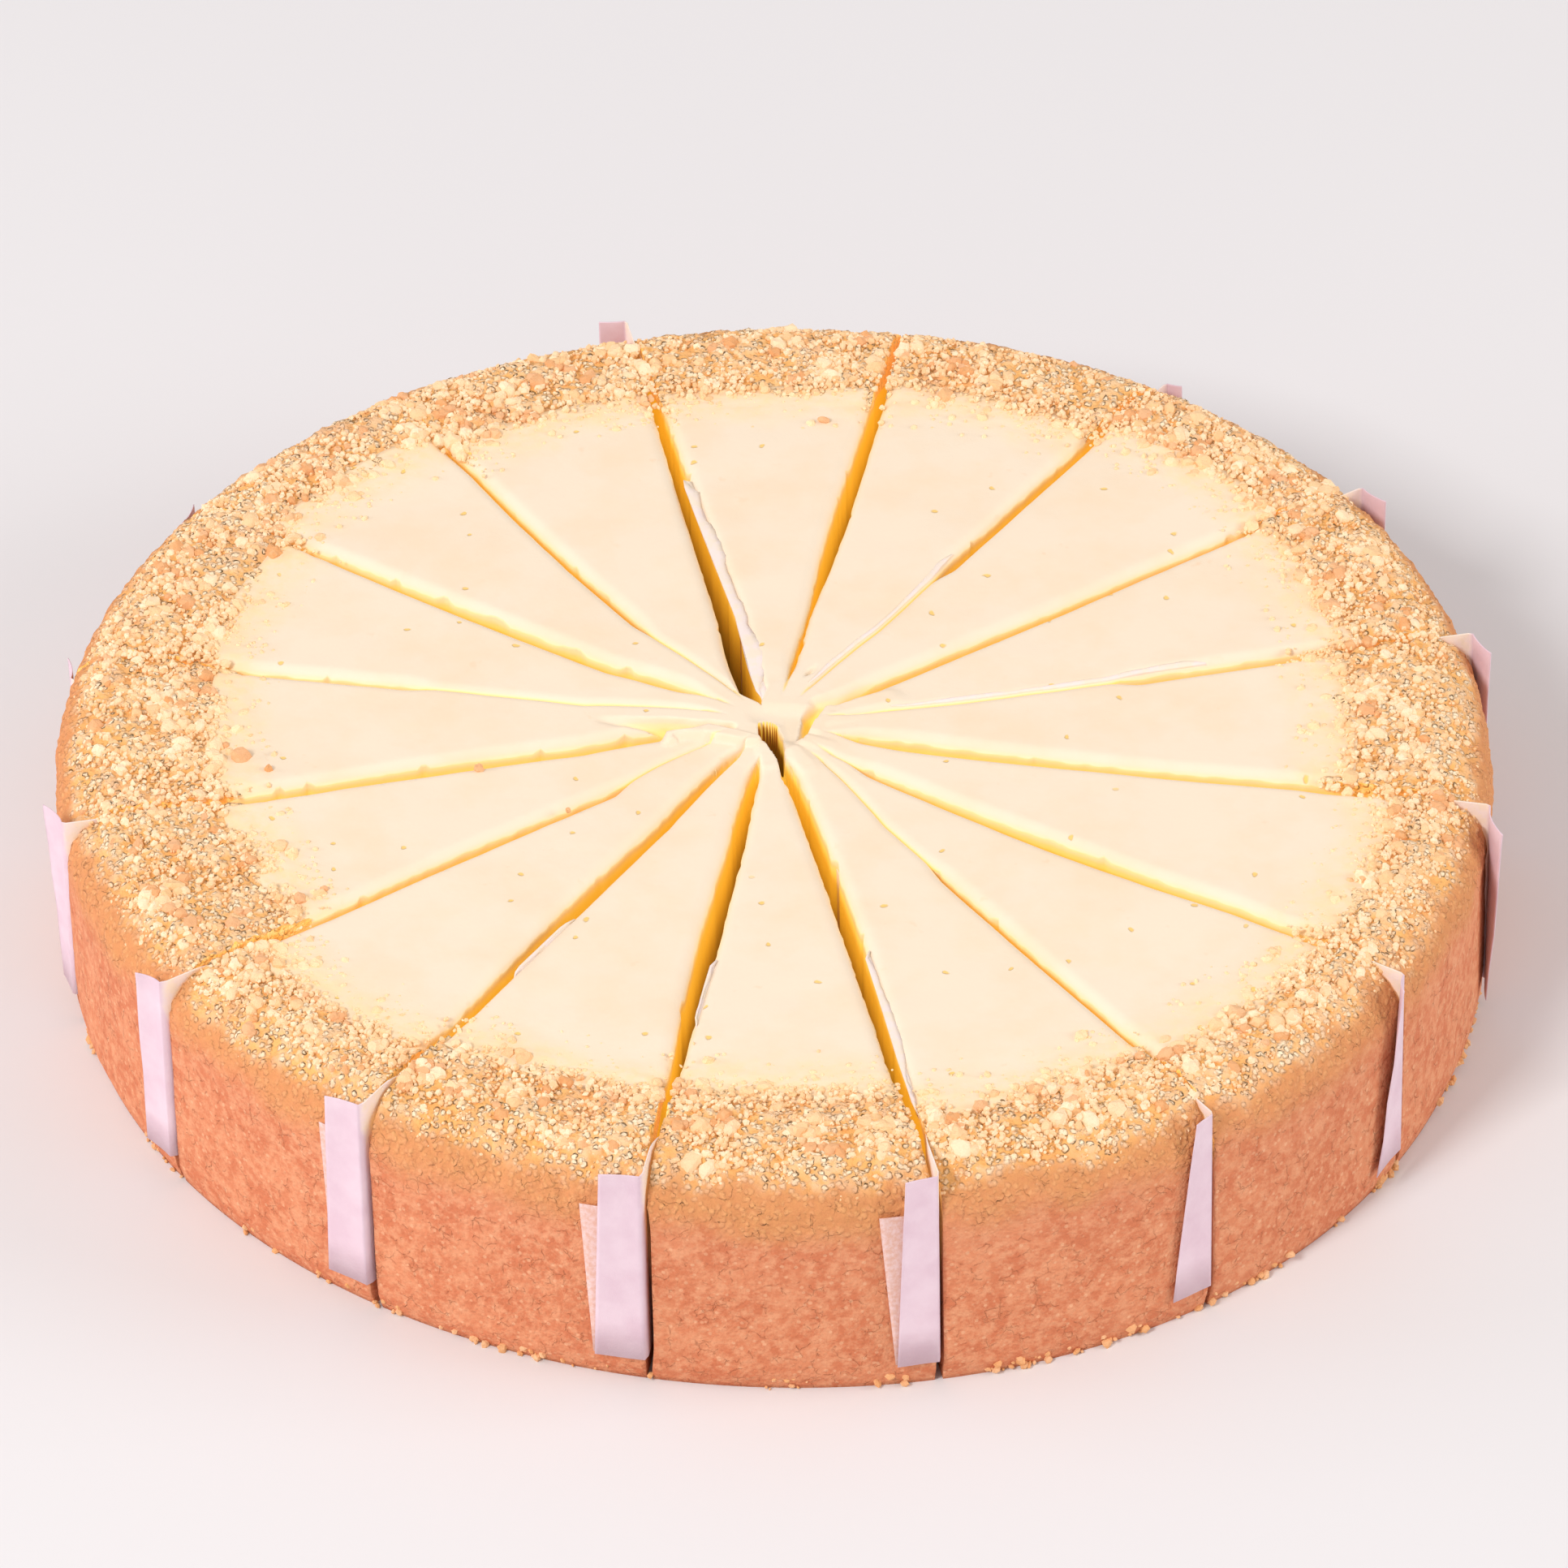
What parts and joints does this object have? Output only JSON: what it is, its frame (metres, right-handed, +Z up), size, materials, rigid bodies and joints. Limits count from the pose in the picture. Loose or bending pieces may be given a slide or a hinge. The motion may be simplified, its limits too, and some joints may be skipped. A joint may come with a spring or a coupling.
{
  "type": "baked cheesecake",
  "caption": "Round baked cheesecake with a crumb crust, side and rim, cut into wedges that still stand together, with a folded paper divider in each cut.",
  "frame": {"origin": "middle of the outline at the underside, where the cake stands", "axes": "+Z up out of the cheese top, -Y towards the front, +X to the right seen from the front"},
  "size_m": [0.2547, 0.2558, 0.0467],
  "materials": {
    "crumb_crust": "matte, rough baked crumb",
    "cheese_filling": "satin, smooth baked cheese",
    "divider_paper": "thin white greaseproof paper"
  },
  "bodies": {
    "root": {"crust_01": "crumb_crust", "filling_01": "cheese_filling", "paper_01": "divider_paper", "crust_02": "crumb_crust", "filling_02": "cheese_filling", "paper_02": "divider_paper", "crust_03": "crumb_crust", "filling_03": "cheese_filling", "paper_03": "divider_paper", "crust_04": "crumb_crust", "filling_04": "cheese_filling", "paper_04": "divider_paper", "crust_05": "crumb_crust", "filling_05": "cheese_filling", "paper_05": "divider_paper", "crust_06": "crumb_crust", "filling_06": "cheese_filling", "paper_06": "divider_paper", "crust_07": "crumb_crust", "filling_07": "cheese_filling", "paper_07": "divider_paper", "crust_08": "crumb_crust", "filling_08": "cheese_filling", "paper_08": "divider_paper", "crust_09": "crumb_crust", "filling_09": "cheese_filling", "paper_09": "divider_paper", "crust_10": "crumb_crust", "filling_10": "cheese_filling", "paper_10": "divider_paper", "crust_11": "crumb_crust", "filling_11": "cheese_filling", "paper_11": "divider_paper", "crust_12": "crumb_crust", "filling_12": "cheese_filling", "paper_12": "divider_paper", "crust_13": "crumb_crust", "filling_13": "cheese_filling", "paper_13": "divider_paper", "crust_14": "crumb_crust", "filling_14": "cheese_filling", "paper_14": "divider_paper", "crust_15": "crumb_crust", "filling_15": "cheese_filling", "paper_15": "divider_paper", "crust_16": "crumb_crust", "filling_16": "cheese_filling", "paper_16": "divider_paper"}
  },
  "joints": []
}
